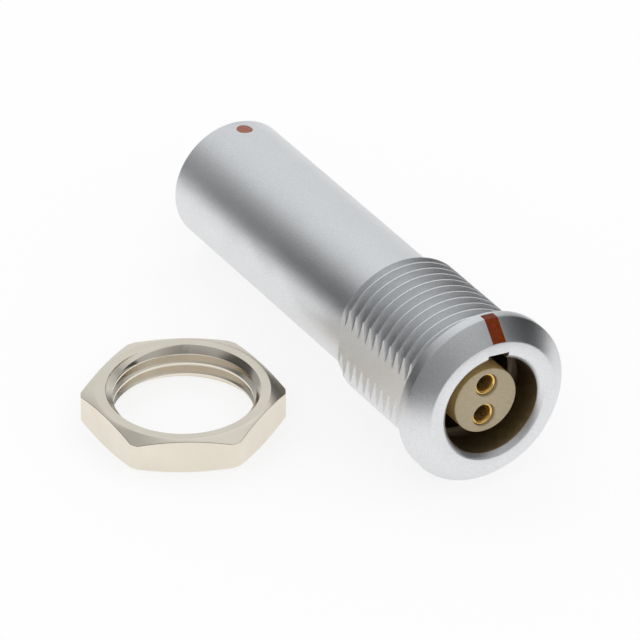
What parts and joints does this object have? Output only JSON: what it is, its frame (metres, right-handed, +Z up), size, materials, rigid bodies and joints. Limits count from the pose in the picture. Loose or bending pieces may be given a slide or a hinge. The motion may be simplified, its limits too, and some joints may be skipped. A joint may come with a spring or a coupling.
{
  "type": "panel-mount connector adapter",
  "caption": "Round metal panel-mount coupler with a keyed socket at each end, flange, threaded stem with two flats, and its hexagon nut lying beside it.",
  "frame": {"origin": "on the table, below the middle of the adapter and nut together", "axes": "+Z up from the table, -Y the way the front socket faces, the nut on the -X side. The axis rises 2.8 degrees towards the front, because the adapter lies on its flange and tube end"},
  "size_m": [0.0303, 0.0404, 0.014],
  "materials": {
    "chromed_brass": "satin bead-blasted chrome on turned brass",
    "nickel_plate": "polished nickel",
    "red_enamel": "satin enamel",
    "insulating_plastic": "machined tan plastic",
    "spring_bronze": "plated spring bronze",
    "gold_plate": "bright gold"
  },
  "bodies": {
    "root": {"front_shell": "chromed_brass", "rear_shell": "chromed_brass", "hex_nut": "nickel_plate", "key_line": "red_enamel", "rear_dot": "red_enamel", "front_insulator": "insulating_plastic", "rear_insulator": "insulating_plastic", "centre_spacer": "insulating_plastic", "front_earthing_crown": "spring_bronze", "rear_earthing_crown": "spring_bronze", "front_upper_clip": "spring_bronze", "front_lower_clip": "spring_bronze", "rear_upper_clip": "spring_bronze", "rear_lower_clip": "spring_bronze", "upper_contact": "gold_plate", "lower_contact": "gold_plate"}
  },
  "joints": []
}
